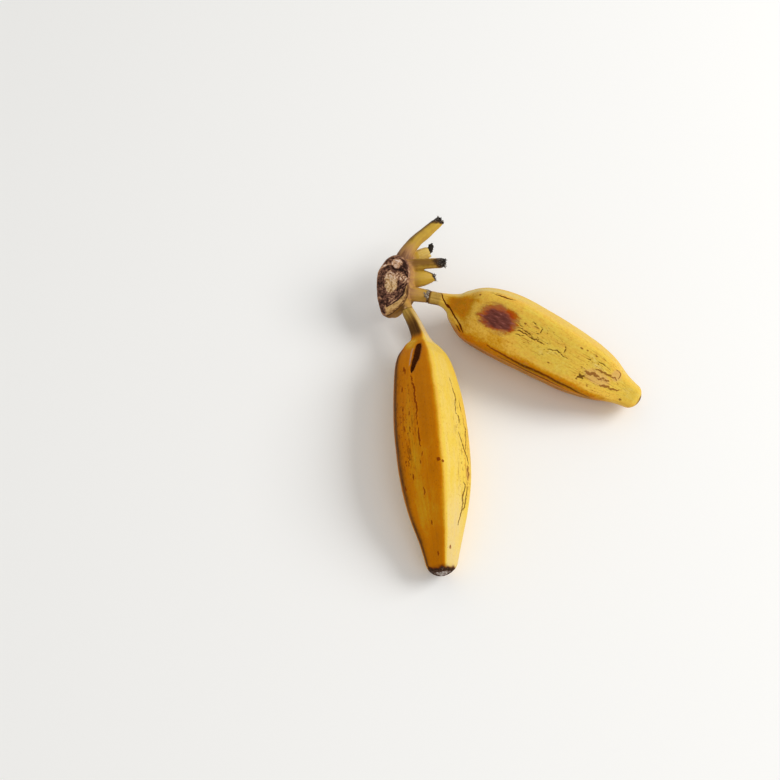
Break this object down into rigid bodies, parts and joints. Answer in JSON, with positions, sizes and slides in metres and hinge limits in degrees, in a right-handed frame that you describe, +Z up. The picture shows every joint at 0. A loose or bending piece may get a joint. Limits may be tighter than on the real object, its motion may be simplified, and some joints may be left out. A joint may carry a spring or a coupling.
{
  "type": "banana cluster",
  "caption": "Cluster of ripe, angular yellow bananas on one cut crown with broken stubs, lying flat on the bellies of its fruits.",
  "frame": {"origin": "middle of the bottom of the bounding box, on the surface that the fruits lie on", "axes": "+Z up; the front fruit points along -Y from the crown, the right fruit along +X and a little towards -Y"},
  "size_m": [0.1612, 0.2276, 0.0434],
  "materials": {
    "peel": "satin waxy peel with brown scuffs and bruises",
    "crown": "dry fibrous cut stem, matt"
  },
  "bodies": {
    "root": {"crown": "crown", "banana_right": "peel", "banana_front": "peel"}
  },
  "joints": []
}
